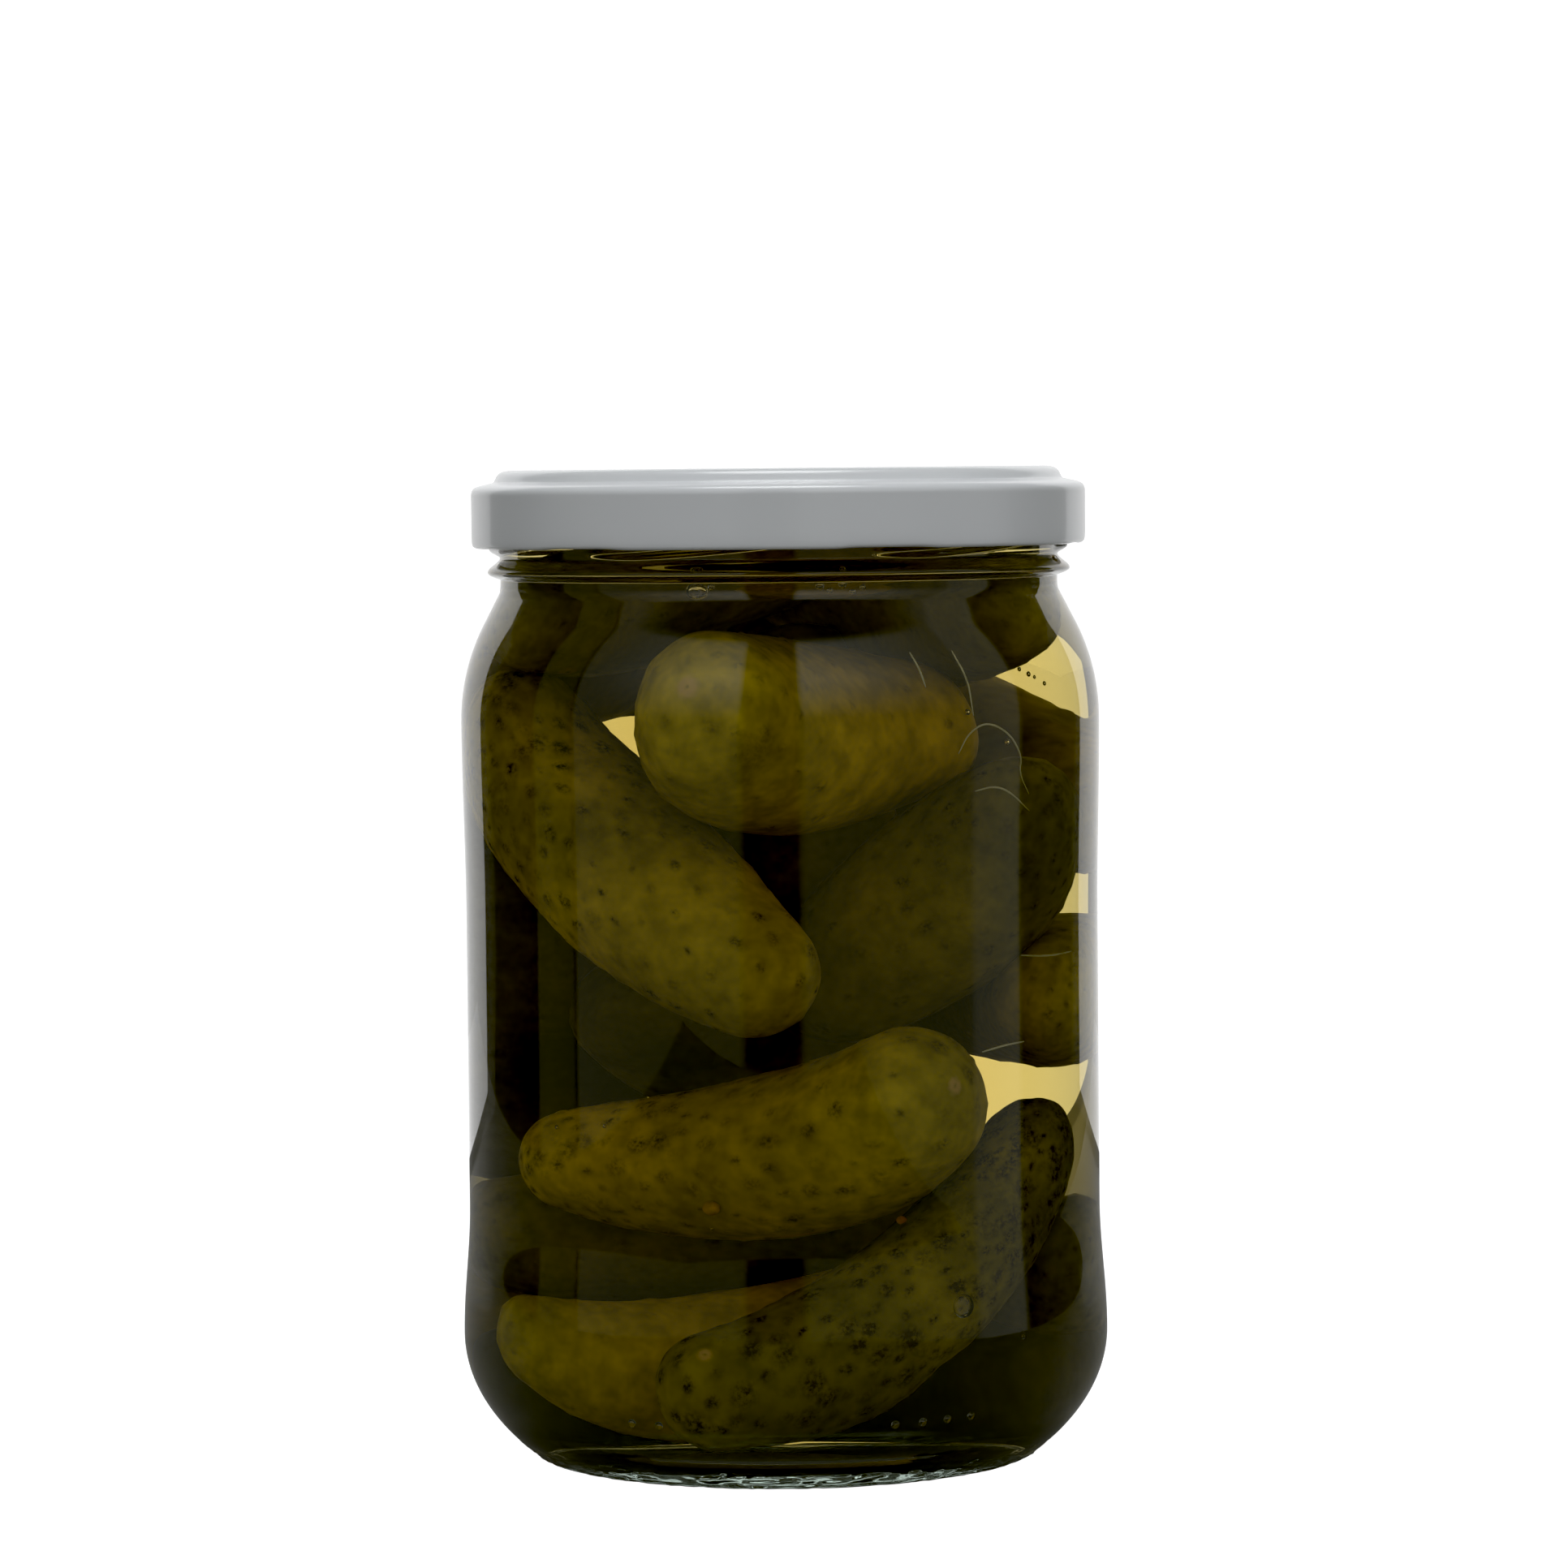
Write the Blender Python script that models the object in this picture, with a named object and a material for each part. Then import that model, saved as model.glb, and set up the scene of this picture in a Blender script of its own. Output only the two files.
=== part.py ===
"""A twist-off preserving jar: clear glass, a white steel lug lid and a heap of pickled gherkins inside.

Lengths are millimetres until a mesh is made, which turns them into metres. +Z is up, the origin is the middle
of the jar's foot, and -Y is the front.
"""

import math
from collections import namedtuple

import bpy
import numpy as np

MM = 0.001

# The jar's wall, outside and inside, from foot to mouth
Side = namedtuple(
    "Side",
    "heel heel_z heel_depth heel_reach heel_power waist waist_low waist_high "
    "shoulder shoulder_z shoulder_arc cone_z neck neck_z",
)
OUTSIDE = Side(
    heel=44.8, heel_z=17.0, heel_depth=40.0, heel_reach=25.4, heel_power=2.0,
    waist=43.85, waist_low=35.0, waist_high=75.0,
    shoulder=44.25, shoulder_z=102.0, shoulder_arc=29.0, cone_z=116.0, neck=38.6, neck_z=120.0,
)
INSIDE = Side(
    heel=42.4, heel_z=19.0, heel_depth=14.4, heel_reach=14.0, heel_power=2.3,
    waist=41.45, waist_low=30.0, waist_high=80.0,
    shoulder=41.85, shoulder_z=102.0, shoulder_arc=23.5, cone_z=112.5, neck=35.6, neck_z=120.5,
)

JAR_HEIGHT = 135.3
JAR_COLUMNS = 60
FOOT_RADIUS = 34.9
FOOT_BEVEL = 0.5
BEARING_INNER_RADIUS = 29.5
PUSH_UP = 2.6
FLOOR_EDGE_Z = 5.0
FLOOR_MIDDLE_Z = 6.6

BEAD_Z = 122.6
BEAD_RISE = 1.75
BEAD_BELOW = 1.0
BEAD_ABOVE = 2.1
RIM_ROUNDING = 1.2

# Six threads that climb to the right round the mouth, each a pointed ridge
THREADS = 6
THREAD_STEP = 360 / THREADS
THREAD_START = 17.5
THREAD_SPAN = 64.0
THREAD_Z = 125.3
THREAD_SLOPE = 0.0207
THREAD_CURVE = 0.00062
THREAD_RISE = 1.5
THREAD_HALF_WIDTH = 1.2
THREAD_POINT = 14.0
THREAD_TAIL = 6.0
THREAD_GRID_LOW_Z = 124.6
THREAD_GRID_HIGH_Z = 131.5

# The lid: 85 mm across, its edge curled in and pressed into six lugs
LID_COLUMNS = 48
LUG_ANGLE = 20.5
LUG_HALF_SPAN = 11.0
LUG_REACH = 1.6
LUG_LIFT = 0.45

# The gherkins: bent, blunt and a little three-sided
GHERKIN_SIDES = 12
GHERKIN_STATIONS = 7
GHERKIN_CAP_RINGS = 2
GHERKIN_NARROWING = 0.22
GHERKIN_LOBE = 0.02

CORE_RADIUS = 21.5
CORE_BACK = 2.0
CORE_LOW_Z = 8.5
CORE_HIGH_Z = 116.0
CORE_SIDES = 16

# Each gherkin from one end's centre to the other's, how far its middle bows, its girth and how it thickens
Gherkin = namedtuple("Gherkin", "start finish bow girth thickening")
GHERKINS = {
    # The front ones lie against the glass, from the top down
    "top_front": Gherkin((-8, -29, 103), (13, -1, 99), (-3, -1, -2), 12.0, -0.1),
    "upper_left": Gherkin((-28, 0, 97), (-4, -26, 69), (-1, 0, -2), 12.0, -0.05),
    "upper_right": Gherkin((28, -13, 87), (7, -6, 67), (1, 2, 1), 12.5, -0.05),
    "middle_front": Gherkin((-23, -7, 42), (15, -26, 51), (3, 0, -3), 11.5, 0.15),
    "lower_front": Gherkin((29, -13, 43), (-9, -31, 14), (4, -2, -5), 9.5, 0.0),
    "lower_left": Gherkin((-32, -17, 19), (10, -5, 20), (1, -3, -4), 8.5, 0.15),
    # Two lie across the middle, behind the front ones
    "low_middle": Gherkin((-27, 6, 30), (11, 6, 34), (0, 0, -1), 11.0, 0.0),
    "centre": Gherkin((-15, -4, 62), (10, 19, 48), (0, 0, 0), 10.5, 0.0),
    # The sides and the back
    "right_side": Gherkin((31, -5, 64), (17, 25, 63), (3, 1, 0), 11.0, 0.0),
    "top_right": Gherkin((27, -6, 116), (5, 24, 112), (0, 0, 0), 10.5, 0.0),
    "top_left": Gherkin((-28, -3, 115), (-3, 13, 117), (0, 0, 0), 10.5, 0.0),
    "top_back": Gherkin((-27, 15, 105), (-4, 31, 108), (0, 0, 1), 7.0, 0.0),
    "back_right": Gherkin((33, 7, 87), (6, 31, 97), (1, 1, 0), 10.3, 0.08),
    "left_side": Gherkin((-27, 14, 83), (-21, 21, 44), (0, 0, 0), 11.0, 0.0),
    "low_right": Gherkin((32, -1, 27), (9, 28, 16), (2, 1, -2), 11.5, 0.0),
    "back": Gherkin((2, 32, 59), (-5, 14, 95), (0, 0, 0), 11.0, 0.0),
    "low_back": Gherkin((2, 32, 41), (-21, 22, 15), (0, 1, -1), 11.0, 0.0),
    "floor": Gherkin((-25, 4, 14), (4, 12, 14), (0, 0, 0), 7.3, 0.0),
}


def ease(share):
    """A smooth step from 0 to 1."""
    share = min(max(share, 0.0), 1.0)
    return (1 - math.cos(math.pi * share)) / 2


def bump(offset, half_width):
    """A rounded ridge, 1 at its crest and 0 beyond its half width."""
    share = min(abs(offset) / half_width, 1.0)
    return (1 - share**2) ** 2


def wall_radius(side, z):
    """The radius of one side of the jar's wall at a height."""
    if z < side.heel_z:
        share = min((side.heel_z - z) / side.heel_reach, 1.0)
        fall = 1 - (1 - share**side.heel_power) ** (1 / side.heel_power)
        return side.heel - side.heel_depth * fall
    if z < side.waist_low:
        share = (z - side.heel_z) / (side.waist_low - side.heel_z)
        return side.heel + (side.waist - side.heel) * ease(share)
    if z < side.shoulder_z:
        share = (z - side.waist_high) / (side.shoulder_z - side.waist_high)
        return side.waist + (side.shoulder - side.waist) * ease(share)
    cone_fall = side.shoulder_arc - math.sqrt(side.shoulder_arc**2 - (side.cone_z - side.shoulder_z) ** 2)
    cone_top = side.shoulder - cone_fall
    if z < side.cone_z:
        fall = side.shoulder_arc - math.sqrt(side.shoulder_arc**2 - (z - side.shoulder_z) ** 2)
        return side.shoulder - fall
    share = min((z - side.cone_z) / (side.neck_z - side.cone_z), 1.0)
    return cone_top + (side.neck - cone_top) * share


def bead_height(z):
    """The transfer bead round the neck, steep below and gentle above."""
    if z < BEAD_Z:
        return BEAD_RISE * max(1 - ((BEAD_Z - z) / BEAD_BELOW) ** 2, 0.0)
    return BEAD_RISE * (1 - ease((z - BEAD_Z) / BEAD_ABOVE))


def thread_climb(along):
    """How far a thread has climbed at so many degrees from its start."""
    return THREAD_SLOPE * along + THREAD_CURVE * along**2


def thread_height(angle, z):
    """How far the threads stand out of the neck's wall at an angle in degrees and a height."""
    height = 0.0
    for along in ((angle - THREAD_START) % THREAD_STEP, (angle - THREAD_START) % THREAD_STEP + THREAD_STEP):
        strength = ease(along / THREAD_POINT) * ease((THREAD_SPAN - along) / THREAD_TAIL)
        if strength > 0:
            middle = THREAD_Z + thread_climb(along)
            ridge = bump(z - middle, THREAD_HALF_WIDTH * (0.5 + 0.5 * strength))
            height = max(height, THREAD_RISE * strength * ridge)
    return height


def climb_share(z):
    """How much of the threads' climb a row of the mesh follows at this height."""
    if z < THREAD_Z:
        return ease((z - THREAD_GRID_LOW_Z + 0.7) / 0.7)
    return 1 - ease((z - THREAD_Z - THREAD_HALF_WIDTH) / (THREAD_GRID_HIGH_Z - THREAD_Z - THREAD_HALF_WIDTH))


def jar_outside_rows():
    """(radius, height) of the outer side's rows, from the push-up's middle to the rim's top."""
    rows = [(0.0, PUSH_UP), (15.0, PUSH_UP * 0.8), (25.0, PUSH_UP * 0.35)]
    rows += [(BEARING_INNER_RADIUS, 0.0), (FOOT_RADIUS - FOOT_BEVEL, 0.0)]
    heel = [FOOT_BEVEL, 2.5, 5.0, 8.0, 12.0]
    body = [17.0, 23.0, 29.0, 35.0, 75.0, 84.0, 93.0, 102.0]
    shoulder = [105.0, 108.0, 110.5, 113.0, 116.0, 120.0]
    bead = [121.6, 122.0, 122.6, 123.2, 123.9]
    for z in heel + body + shoulder + bead:
        rows.append((wall_radius(OUTSIDE, z) + bead_height(z), z))
    for z in (124.6, 125.0, 125.4, 125.8, 126.3, 127.0, 127.8, 128.6, 129.5, 130.5, 132.0):
        rows.append((OUTSIDE.neck, z))
    for turn in (0, 30, 60, 90):
        out = math.cos(math.radians(turn))
        up = math.sin(math.radians(turn))
        rows.append((OUTSIDE.neck - RIM_ROUNDING * (1 - out), JAR_HEIGHT - RIM_ROUNDING * (1 - up)))
    return rows


def jar_inside_rows():
    """(radius, height) of the inner side's rows, from the rim's top to the floor's middle."""
    rows = []
    for turn in (90, 45, 0):
        out = math.cos(math.radians(turn))
        up = math.sin(math.radians(turn))
        rows.append((INSIDE.neck + RIM_ROUNDING * (1 - out), JAR_HEIGHT - RIM_ROUNDING * (1 - up)))
    shoulder = [120.5, 116.5, 112.5, 109.0, 105.5]
    body = [102.0, 91.0, 80.0, 30.0, 24.5]
    heel = [19.0, 14.0, 10.0, 7.5, 5.9]
    for z in shoulder + body + heel:
        rows.append((wall_radius(INSIDE, z), z))
    rows += [(29.0, FLOOR_EDGE_Z), (15.0, FLOOR_MIDDLE_Z - 0.5), (0.0, FLOOR_MIDDLE_Z)]
    return rows


def mesh_object(name, points, faces, material, sharp_degrees):
    """A new smooth-shaded object from points in millimetres."""
    mesh = bpy.data.meshes.new(name)
    mesh.from_pydata([tuple(coordinate * MM for coordinate in point) for point in points], [], faces)
    mesh.shade_smooth()
    mesh.set_sharp_from_angle(angle=math.radians(sharp_degrees))
    mesh.materials.append(material)
    thing = bpy.data.objects.new(name, mesh)
    bpy.context.scene.collection.objects.link(thing)
    return thing


def turned_mesh(rows, columns, place):
    """Points and faces of a closed turned shape. Its first and last rows are single points on the axis.

    place gives the point of a row, by its number, at an angle in degrees.
    """
    points = [place(0, 0.0)]
    for row in range(1, len(rows) - 1):
        points += [place(row, 360 * column / columns) for column in range(columns)]
    points.append(place(len(rows) - 1, 0.0))
    last = len(points) - 1
    faces = []
    for column in range(columns):
        beside = (column + 1) % columns
        faces.append((0, 1 + beside, 1 + column))
        for row in range(len(rows) - 3):
            low = 1 + row * columns
            high = low + columns
            faces.append((low + column, low + beside, high + beside, high + column))
        top = 1 + (len(rows) - 3) * columns
        faces.append((last, top + column, top + beside))
    return points, faces


def on_circle(radius, z, angle):
    """The point at an angle in degrees, counted from the front towards +X."""
    turn = math.radians(angle)
    return (radius * math.sin(turn), -radius * math.cos(turn), z)


def make_jar(material):
    """The glass, one shell open at the mouth, with its bead and its threads."""
    outside = jar_outside_rows()
    rows = outside + jar_inside_rows()

    def place(row, angle):
        radius, z = rows[row]
        turned = angle + THREAD_START
        on_thread_wall = row < len(outside) and THREAD_GRID_LOW_Z <= z < THREAD_GRID_HIGH_Z
        if on_thread_wall:
            z += climb_share(z) * thread_climb(angle % THREAD_STEP)
            radius += thread_height(turned, z)
        return on_circle(radius, z, turned)

    points, faces = turned_mesh(rows, JAR_COLUMNS, place)
    return mesh_object("jar", points, faces, material, 40)


def lid_rows():
    """(radius, height, lug share) of the lid's rows: over the top, down the skirt, round the curl and back inside.

    The channel under the raised ring holds the sealing compound, which is one with the lid.
    """
    top = [(0.0, 135.0), (9.5, 135.0), (11.0, 134.6), (23.0, 134.6), (24.3, 135.0), (25.6, 134.6)]
    ring = [(34.2, 134.6), (35.2, 136.1), (36.3, 136.7), (37.8, 136.65), (38.8, 136.2), (39.3, 135.1)]
    skirt = [(41.6, 134.5), (42.25, 134.05), (42.5, 133.3), (42.5, 127.0)]
    curl = [(42.3, 126.1, 0.1), (41.5, 125.85, 0.4), (40.9, 126.3, 1.0), (41.1, 127.0, 1.0), (42.1, 127.4, 0.0)]
    inside = [(42.15, 132.7), (41.6, 133.8), (39.0, 134.4), (38.4, 135.6), (35.6, 135.6), (34.7, 134.3), (0.0, 134.3)]
    plain = [(radius, z, 0.0) for radius, z in top + ring + skirt]
    return plain + curl + [(radius, z, 0.0) for radius, z in inside]


def lug_share(angle):
    """How far into a lug an angle is, from 0 between the lugs to 1 in their middle."""
    away = (angle - LUG_ANGLE + THREAD_STEP / 2) % THREAD_STEP - THREAD_STEP / 2
    return ease(1.8 * (1 - abs(away) / LUG_HALF_SPAN))


def make_lid(material):
    """The steel lid, one shell of even thickness with its sealing compound."""
    rows = list(reversed(lid_rows()))

    def place(row, angle):
        radius, z, share = rows[row]
        share *= lug_share(angle)
        return on_circle(radius - LUG_REACH * share, z + LUG_LIFT * share, angle)

    points, faces = turned_mesh(rows, LID_COLUMNS, place)
    return mesh_object("lid", points, faces, material, 35)


def gherkin_axis(gherkin, share):
    """A point of a gherkin's bent middle line and the line's direction, share running from -1 to 1."""
    start = np.array(gherkin.start, float)
    finish = np.array(gherkin.finish, float)
    bow = np.array(gherkin.bow, float)
    point = (start + finish) / 2 + (finish - start) / 2 * share + bow * (1 - share**2)
    direction = (finish - start) / 2 - 2 * bow * share
    return point, direction


def gherkin_girth(gherkin, share):
    """The radius of the ball that fits a gherkin at a share of its length."""
    return gherkin.girth * (1 + gherkin.thickening * share - GHERKIN_NARROWING * share**2)


def gherkin_rings(gherkin):
    """(centre, direction, radius) of the rings of a gherkin's skin, which wraps a row of balls, and its two tips."""
    body = []
    for share in np.linspace(-1, 1, GHERKIN_STATIONS):
        point, slope = gherkin_axis(gherkin, share)
        length = np.linalg.norm(slope)
        girth = gherkin_girth(gherkin, share)
        growth = gherkin.girth * (gherkin.thickening - 2 * GHERKIN_NARROWING * share) / length
        body.append((point, slope / length, girth, growth))

    def on_ball(station, backwards):
        point, direction, girth, _ = station
        return point - direction * girth * backwards, direction, girth * math.sqrt(1 - backwards**2)

    rings = [on_ball(station, station[3]) for station in body]
    first, last = body[0], body[-1]
    caps = []
    for station, sign in ((first, 1), (last, -1)):
        seam = math.asin(sign * station[3])
        steps = np.linspace(seam, math.pi / 2, GHERKIN_CAP_RINGS + 2)[1:-1]
        caps.append([on_ball(station, sign * math.sin(step)) for step in steps])
    tips = (first[0] - first[1] * first[2], last[0] + last[1] * last[2])
    return caps[0][::-1] + rings + caps[1], tips


def make_gherkin(name, gherkin, material):
    """One gherkin, as a closed mesh."""
    rings, tips = gherkin_rings(gherkin)
    side = np.cross(rings[0][1], (0, 0, 1))
    points = [tuple(tips[0])]
    for centre, direction, radius in rings:
        side = side - direction * np.dot(side, direction)
        side = side / np.linalg.norm(side)
        across = np.cross(direction, side)
        for corner in range(GHERKIN_SIDES):
            turn = 2 * math.pi * corner / GHERKIN_SIDES
            lobed = radius * (1 - GHERKIN_LOBE * (1 - math.cos(3 * turn)))
            points.append(tuple(centre + lobed * (math.cos(turn) * side + math.sin(turn) * across)))
    points.append(tuple(tips[1]))
    last = len(points) - 1
    faces = []
    for corner in range(GHERKIN_SIDES):
        beside = (corner + 1) % GHERKIN_SIDES
        faces.append((0, 1 + beside, 1 + corner))
        for ring in range(len(rings) - 1):
            low = 1 + ring * GHERKIN_SIDES
            high = low + GHERKIN_SIDES
            faces.append((low + corner, low + beside, high + beside, high + corner))
        end = 1 + (len(rings) - 1) * GHERKIN_SIDES
        faces.append((last, end + corner, end + beside))
    return mesh_object(name, points, faces, material, 180)


def make_core(material):
    """The plain middle of the heap, which every gherkin is joined to."""
    rows = [(0.0, CORE_LOW_Z), (CORE_RADIUS * 0.7, CORE_LOW_Z), (CORE_RADIUS, CORE_LOW_Z + 8)]
    rows += [(CORE_RADIUS, CORE_HIGH_Z - 8), (CORE_RADIUS * 0.7, CORE_HIGH_Z), (0.0, CORE_HIGH_Z)]

    def place(row, angle):
        x, y, z = on_circle(*rows[row], angle)
        return (x, y + CORE_BACK, z)

    points, faces = turned_mesh(rows, CORE_SIDES, place)
    return mesh_object("gherkins", points, faces, material, 60)


def make_heap(material):
    """The whole heap as one solid: the core with every gherkin fused on."""
    heap = make_core(material)
    pieces = bpy.data.collections.new("gherkin_pieces")
    for name, gherkin in GHERKINS.items():
        piece = make_gherkin("gherkin_" + name, gherkin, material)
        bpy.context.scene.collection.objects.unlink(piece)
        pieces.objects.link(piece)
    bpy.context.scene.collection.children.link(pieces)
    union = heap.modifiers.new("fused", "BOOLEAN")
    union.operation = "UNION"
    union.operand_type = "COLLECTION"
    union.collection = pieces
    union.solver = "EXACT"
    bpy.context.view_layer.update()
    fused = bpy.data.meshes.new_from_object(heap.evaluated_get(bpy.context.evaluated_depsgraph_get()))
    heap.modifiers.remove(union)
    fused.shade_smooth()
    fused.set_sharp_from_angle(angle=math.radians(40))
    heap.data = fused
    for piece in list(pieces.objects):
        bpy.data.objects.remove(piece)
    bpy.data.collections.remove(pieces)
    return heap


def surface(name, color, roughness, metallic=0.0, transmission=0.0, ior=1.5):
    """A plain material of one colour."""
    material = bpy.data.materials.new(name)
    material.use_nodes = True
    shader = material.node_tree.nodes["Principled BSDF"]
    shader.inputs["Base Color"].default_value = (*color, 1.0)
    shader.inputs["Roughness"].default_value = roughness
    shader.inputs["Metallic"].default_value = metallic
    shader.inputs["Transmission Weight"].default_value = transmission
    shader.inputs["IOR"].default_value = ior
    return material


def main():
    """Clears the scene and makes the three pieces."""
    for thing in list(bpy.data.objects):
        bpy.data.objects.remove(thing)
    glass = surface("clear glass", (0.93, 0.97, 0.95), 0.02, transmission=1.0, ior=1.52)
    steel = surface("white lacquered steel", (0.80, 0.82, 0.83), 0.25)
    skin = surface("pickled gherkin skin", (0.11, 0.10, 0.012), 0.35, ior=1.36)
    pack = bpy.data.objects.new("jar_of_gherkins", None)
    bpy.context.scene.collection.objects.link(pack)
    for piece in (make_jar(glass), make_lid(steel), make_heap(skin)):
        piece.parent = pack


main()
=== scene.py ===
"""Looks of the twist-off preserving jar: clear glass, a white steel lid, gherkins, brine and small things.

Shapes are worked out in millimetres and turned into metres when a mesh is made. -Y is the front.
"""

import math
from collections import namedtuple

import bpy
import numpy as np
from mathutils import Matrix, Vector


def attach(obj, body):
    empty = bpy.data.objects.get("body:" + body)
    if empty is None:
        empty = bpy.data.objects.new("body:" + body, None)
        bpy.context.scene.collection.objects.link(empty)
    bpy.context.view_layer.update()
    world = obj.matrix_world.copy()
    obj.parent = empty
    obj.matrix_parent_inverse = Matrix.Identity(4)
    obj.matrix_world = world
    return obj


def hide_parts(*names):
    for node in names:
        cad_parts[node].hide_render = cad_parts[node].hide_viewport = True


MM = 0.001
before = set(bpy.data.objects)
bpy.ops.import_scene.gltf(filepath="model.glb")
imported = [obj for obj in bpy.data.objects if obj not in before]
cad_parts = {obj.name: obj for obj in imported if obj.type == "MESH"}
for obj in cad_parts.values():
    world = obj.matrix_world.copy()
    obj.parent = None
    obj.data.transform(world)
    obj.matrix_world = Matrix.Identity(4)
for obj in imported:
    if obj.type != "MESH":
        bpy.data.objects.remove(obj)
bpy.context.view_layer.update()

# The jar's walls, as in the part's source, in mm and degrees

Side = namedtuple(
    "Side",
    "heel heel_z heel_depth heel_reach heel_power waist waist_low waist_high "
    "shoulder shoulder_z shoulder_arc cone_z neck neck_z",
)
OUTSIDE = Side(
    heel=44.8, heel_z=17.0, heel_depth=40.0, heel_reach=25.4, heel_power=2.0,
    waist=43.85, waist_low=35.0, waist_high=75.0,
    shoulder=44.25, shoulder_z=102.0, shoulder_arc=29.0, cone_z=116.0, neck=38.6, neck_z=120.0,
)
INSIDE = Side(
    heel=42.4, heel_z=19.0, heel_depth=14.4, heel_reach=14.0, heel_power=2.3,
    waist=41.45, waist_low=30.0, waist_high=80.0,
    shoulder=41.85, shoulder_z=102.0, shoulder_arc=23.5, cone_z=112.5, neck=35.6, neck_z=120.5,
)

JAR_HEIGHT = 135.3
RIM_ROUNDING = 1.2
PUSH_UP = 2.6
PUSH_UP_RADIUS = 29.5
# radius and height of the ring that the jar stands on, from the inside out
FOOT_RING = [
    (29.0, 0.03), (29.5, 0.0), (31.0, 0.0), (33.0, 0.0),
    (34.0, 0.0), (34.4, 0.0), (34.75, 0.1), (35.05, 0.25),
]
FLOOR_RADIUS, FLOOR_EDGE_Z, FLOOR_MIDDLE_Z = 29.5, 5.0, 6.6
INNER_HEEL_DROP = 13.9
BEAD_Z, BEAD_RISE, BEAD_BELOW, BEAD_ABOVE = 122.6, 1.75, 1.0, 2.1
THREAD_STEP, THREAD_START, THREAD_SPAN = 60.0, 17.5, 64.0
THREAD_Z, THREAD_SLOPE, THREAD_CURVE = 125.3, 0.0207, 0.00062
THREAD_RISE, THREAD_HALF_WIDTH = 1.5, 1.2
THREAD_POINT, THREAD_TAIL = 14.0, 6.0
THREADS_FROM_Z = 124.3

# How uneven the glass is: the inner wall's waves, and the stippled foot
WAVE_DEPTH, WAVE_SIZE, WAVE_TOP_Z = 0.12, 17, 130
STIPPLE_DEPTH, STIPPLE_HEIGHT, STIPPLE_WIDTH, STIPPLE_SPACING = 0.16, 0.12, 1.3, 1.5
STIPPLE_FROM_RADIUS, STIPPLE_TOP_Z = 28.5, 2.6

# The lid's section as radius and height, from the middle of its top out, down and back in
LID_TOP = [(9.5, 135.0), (11, 134.6), (23, 134.6), (24.3, 135.0), (25.6, 134.6)]
LID_RING = [(34.2, 134.6), (35.2, 136.1), (36.3, 136.7), (37.8, 136.65), (38.8, 136.2), (39.3, 135.1)]
LID_SKIRT = [
    (39.5, 134.95), (41.5, 134.55), (42.2, 134.2), (42.5, 133.6),
    (42.5, 132.8), (42.5, 130.0), (42.5, 126.7),
]
# the curled edge also has each point's share in the lugs
LID_CURL = [
    (42.3, 126.1, 0.1), (41.5, 125.85, 0.4), (40.9, 126.3, 1.0), (41.1, 127.0, 1.0), (42.1, 127.4, 0.0),
]
LID_INSIDE = [
    (42.15, 130), (42.15, 132.7), (41.6, 133.8), (39.0, 134.4),
    (38.4, 135.6), (35.6, 135.6), (34.7, 134.3), (9, 134.3),
]
LID_TOP_Z, LID_UNDER_Z = 135.0, 134.3
LUG_ANGLE, LUG_HALF_SPAN, LUG_REACH, LUG_LIFT = 20.5, 11.0, 1.6, 0.45

BRINE_TOP = 128.5
BRINE_INTO_GLASS = 0.2
# radius of the brine's surface, and how far it lies below the edge of the liquid
BRINE_SURFACE = [(35.3, 0.25), (34.6, 0.45), (33, 0.55), (20, 0.6)]
BRINE_SAG = 0.6

# Each gherkin as in the part's source: the middles of its end balls, how its middle bows, its radius and
# how much thicker its second end is
Gherkin = namedtuple("Gherkin", "start finish bow girth thickening")
GHERKIN_NARROWING = 0.22
GHERKIN_LOBE = 0.02
GHERKINS = {
    "top_front": Gherkin((-8, -29, 103), (13, -1, 99), (-3, -1, -2), 12.0, -0.1),
    "upper_left": Gherkin((-28, 0, 97), (-4, -26, 69), (-1, 0, -2), 12.0, -0.05),
    "upper_right": Gherkin((28, -13, 87), (7, -6, 67), (1, 2, 1), 12.5, -0.05),
    "middle_front": Gherkin((-23, -7, 42), (15, -26, 51), (3, 0, -3), 11.5, 0.15),
    "lower_front": Gherkin((29, -13, 43), (-9, -31, 14), (4, -2, -5), 9.5, 0.0),
    "lower_left": Gherkin((-32, -17, 19), (10, -5, 20), (1, -3, -4), 8.5, 0.15),
    "low_middle": Gherkin((-27, 6, 30), (11, 6, 34), (0, 0, -1), 11.0, 0.0),
    "centre": Gherkin((-15, -4, 62), (10, 19, 48), (0, 0, 0), 10.5, 0.0),
    "right_side": Gherkin((31, -5, 64), (17, 25, 63), (3, 1, 0), 11.0, 0.0),
    "top_right": Gherkin((27, -6, 116), (5, 24, 112), (0, 0, 0), 10.5, 0.0),
    "top_left": Gherkin((-28, -3, 115), (-3, 13, 117), (0, 0, 0), 10.5, 0.0),
    "top_back": Gherkin((-27, 15, 105), (-4, 31, 108), (0, 0, 1), 7.0, 0.0),
    "back_right": Gherkin((33, 7, 87), (6, 31, 97), (1, 1, 0), 10.3, 0.08),
    "left_side": Gherkin((-27, 14, 83), (-21, 21, 44), (0, 0, 0), 11.0, 0.0),
    "low_right": Gherkin((32, -1, 27), (9, 28, 16), (2, 1, -2), 11.5, 0.0),
    "back": Gherkin((2, 32, 59), (-5, 14, 95), (0, 0, 0), 11.0, 0.0),
    "low_back": Gherkin((2, 32, 41), (-21, 22, 15), (0, 1, -1), 11.0, 0.0),
    "floor": Gherkin((-25, 4, 14), (4, 12, 14), (0, 0, 0), 7.3, 0.0),
}
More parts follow.
